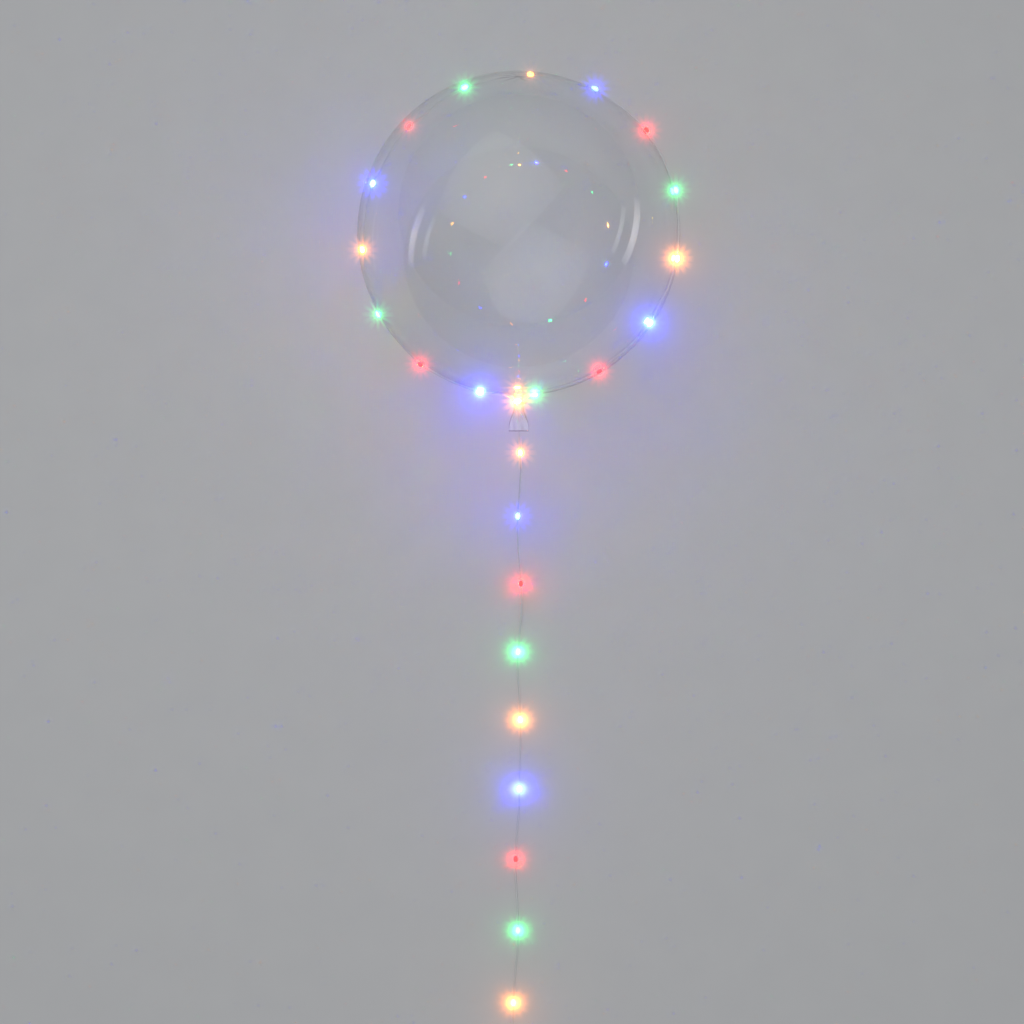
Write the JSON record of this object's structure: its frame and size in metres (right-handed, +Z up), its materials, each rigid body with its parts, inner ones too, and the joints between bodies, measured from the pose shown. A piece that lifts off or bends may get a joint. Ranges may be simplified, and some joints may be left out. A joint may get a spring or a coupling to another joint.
{
  "type": "clear bubble balloon",
  "caption": "Round clear film balloon lying on its side, with a battery light string looped over it and trailing from the neck to a coil and battery box.",
  "frame": {"origin": "centre of the flat spot that the balloon rests on, on the floor", "axes": "+Z up; +Y along the floor from the neck towards the crown; +X to the right as the picture shows the loop of lights"},
  "size_m": [0.4566, 1.4681, 0.4529],
  "materials": {
    "clear_film": "clear stretched plastic film, glossy",
    "clear_wire": "clear insulation over tinned twin conductors",
    "resin_amber": "lit warm clear resin drop",
    "resin_green": "lit green clear resin drop",
    "resin_red": "lit red clear resin drop",
    "resin_blue": "lit blue clear resin drop",
    "tie_plastic": "plastic-coated wire tie",
    "soft_vinyl": "soft vinyl sleeve",
    "white_abs": "moulded ABS, fine spark texture",
    "zinc_steel": "zinc-plated steel"
  },
  "bodies": {
    "root": {"balloon_film": "clear_film", "loop_wire": "clear_wire", "tail_wire": "clear_wire", "wire_coil": "clear_wire", "box_lead": "clear_wire", "coil_tie": "tie_plastic", "lead_sleeve": "soft_vinyl", "battery_box": "white_abs", "battery_lid": "white_abs", "lid_screw": "zinc_steel", "light_05_blue": "resin_blue", "light_06_amber": "resin_amber", "light_07_green": "resin_green", "light_08_red": "resin_red", "light_09_blue": "resin_blue", "light_10_amber": "resin_amber", "light_11_green": "resin_green", "light_12_red": "resin_red", "light_13_blue": "resin_blue", "light_14_amber": "resin_amber", "light_15_green": "resin_green", "light_16_red": "resin_red", "light_17_blue": "resin_blue", "light_18_amber": "resin_amber", "light_19_green": "resin_green", "light_20_red": "resin_red", "light_21_blue": "resin_blue", "light_22_amber": "resin_amber", "light_23_green": "resin_green", "light_24_red": "resin_red", "light_25_blue": "resin_blue", "light_26_amber": "resin_amber", "light_27_green": "resin_green", "light_28_red": "resin_red", "light_29_blue": "resin_blue", "light_30_amber": "resin_amber"}
  },
  "joints": []
}
